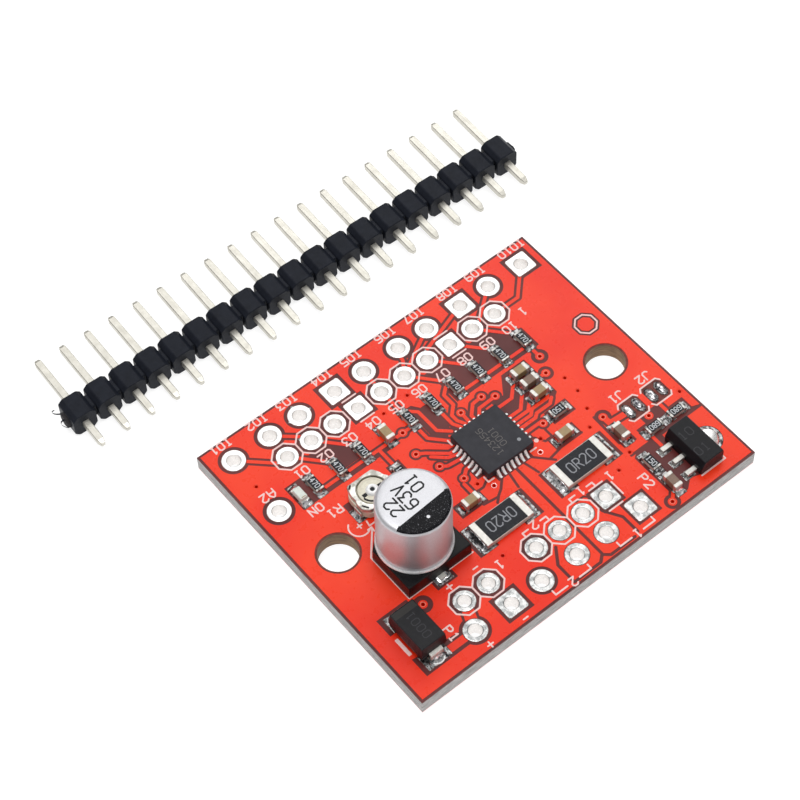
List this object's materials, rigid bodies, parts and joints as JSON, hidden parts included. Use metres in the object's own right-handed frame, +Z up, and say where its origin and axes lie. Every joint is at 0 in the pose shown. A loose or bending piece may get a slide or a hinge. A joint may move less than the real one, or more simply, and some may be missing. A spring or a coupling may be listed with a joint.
{
  "type": "stepper driver module",
  "caption": "Red circuit board that drives a stepper motor, with plated pin rows, a driver chip, a can capacitor, a current trimmer and a loose pin header strip.",
  "frame": {"origin": "centre of the board's underside, on the plane that the board rests on", "axes": "+Z up out of the component side, +X along the long edges, +Y towards the long control pin row"},
  "size_m": [0.0489, 0.0467, 0.0093],
  "materials": {
    "laminate": "matte",
    "solder_mask": "gloss",
    "legend": "matte",
    "via": "gloss",
    "tin": "satin",
    "solder": "gloss",
    "ceramic": "matte",
    "mould": "matte",
    "silicon": "gloss",
    "copper_frame": "satin",
    "aluminium": "satin",
    "rubber": "matte",
    "foil_paper": "matte",
    "resistor": "satin",
    "capacitor_body": "satin",
    "led_lens": "gloss",
    "led_base": "gloss",
    "trimmer_shell": "satin",
    "rotor": "satin",
    "housing": "matte",
    "pin": "satin"
  },
  "bodies": {
    "board": {"pcb": "laminate", "solder_mask_top": "solder_mask", "solder_mask_bottom": "solder_mask", "legend_print": "legend", "via_barrels": "via", "test_point": "tin", "control_terminal_barrels": "tin", "control_header_barrels": "tin", "motor_terminal_barrels": "tin", "motor_header_barrels": "tin", "power_terminal_barrels": "tin", "power_header_barrels": "tin", "component_lands": "tin", "jumper_lands": "solder", "solder_fillets": "solder", "driver_mould": "mould", "driver_contacts": "tin", "driver_paddle": "copper_frame", "driver_die": "silicon", "capacitor_base": "mould", "capacitor_can": "aluminium", "capacitor_bung": "rubber", "capacitor_winding": "foil_paper", "capacitor_terminals": "tin", "sense_resistor_bodies": "resistor", "sense_resistor_ends": "tin", "diode_mould": "mould", "diode_leads": "tin", "diode_die": "silicon", "regulator_mould": "mould", "regulator_leads": "tin", "regulator_tab": "tin", "trimmer_base": "ceramic", "trimmer_shell": "trimmer_shell", "trimmer_terminals": "tin", "led_base": "led_base", "led_lens": "led_lens", "led_ends": "tin", "chip_resistor_bodies": "resistor", "chip_resistor_ends": "tin", "chip_capacitor_bodies": "capacitor_body", "chip_capacitor_ends": "tin"},
    "trimmer_rotor": {"trimmer_rotor": "rotor"},
    "header_strip": {"header_housing": "housing", "header_pins": "pin"}
  },
  "joints": [
    {"name": "trimmer_turn", "type": "hinge", "parent": "board", "child": "trimmer_rotor", "pos_m": [-0.0092, 0.00225, 0.0026], "axis": [0, 0, 1], "range_deg": [-120, 120]},
    {"name": "strip_lift", "type": "slide", "parent": "board", "child": "header_strip", "axis": [0, 0, 1], "range_m": [0, 0.02]}
  ]
}
